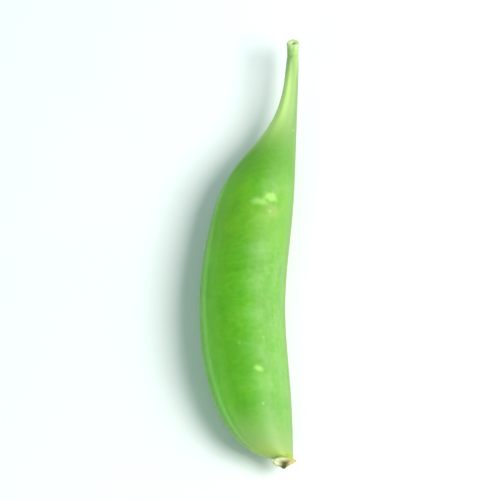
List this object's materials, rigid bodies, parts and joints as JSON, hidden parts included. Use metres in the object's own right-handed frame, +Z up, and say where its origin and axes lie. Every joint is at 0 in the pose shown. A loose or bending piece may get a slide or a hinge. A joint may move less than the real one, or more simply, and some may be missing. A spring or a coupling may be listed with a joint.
{
  "type": "sugar snap pea pod",
  "caption": "Whole sugar snap pea pod lying on its side: plump curved body, raised sutures, stalk-like neck, broken stem stub and dried style.",
  "frame": {"origin": "on the surface that the pod rests on, under the middle of its bounding box", "axes": "+Y along the pod from the dried style at the beak to the broken stem end, +X towards the straighter, ventral suture, +Z up from the surface"},
  "size_m": [0.0168, 0.079, 0.0101],
  "materials": {
    "pod_skin": "smooth waxy green skin with a soft satin sheen, fine veins, paler sutures and a pale yellow-green neck",
    "broken_stem": "pale, fibrous green stalk with a tan pith in its broken face",
    "dried_style": "dry, papery cream to brown wisp"
  },
  "bodies": {
    "root": {"pod": "pod_skin", "stem_stub": "broken_stem", "dried_style": "dried_style"}
  },
  "joints": []
}
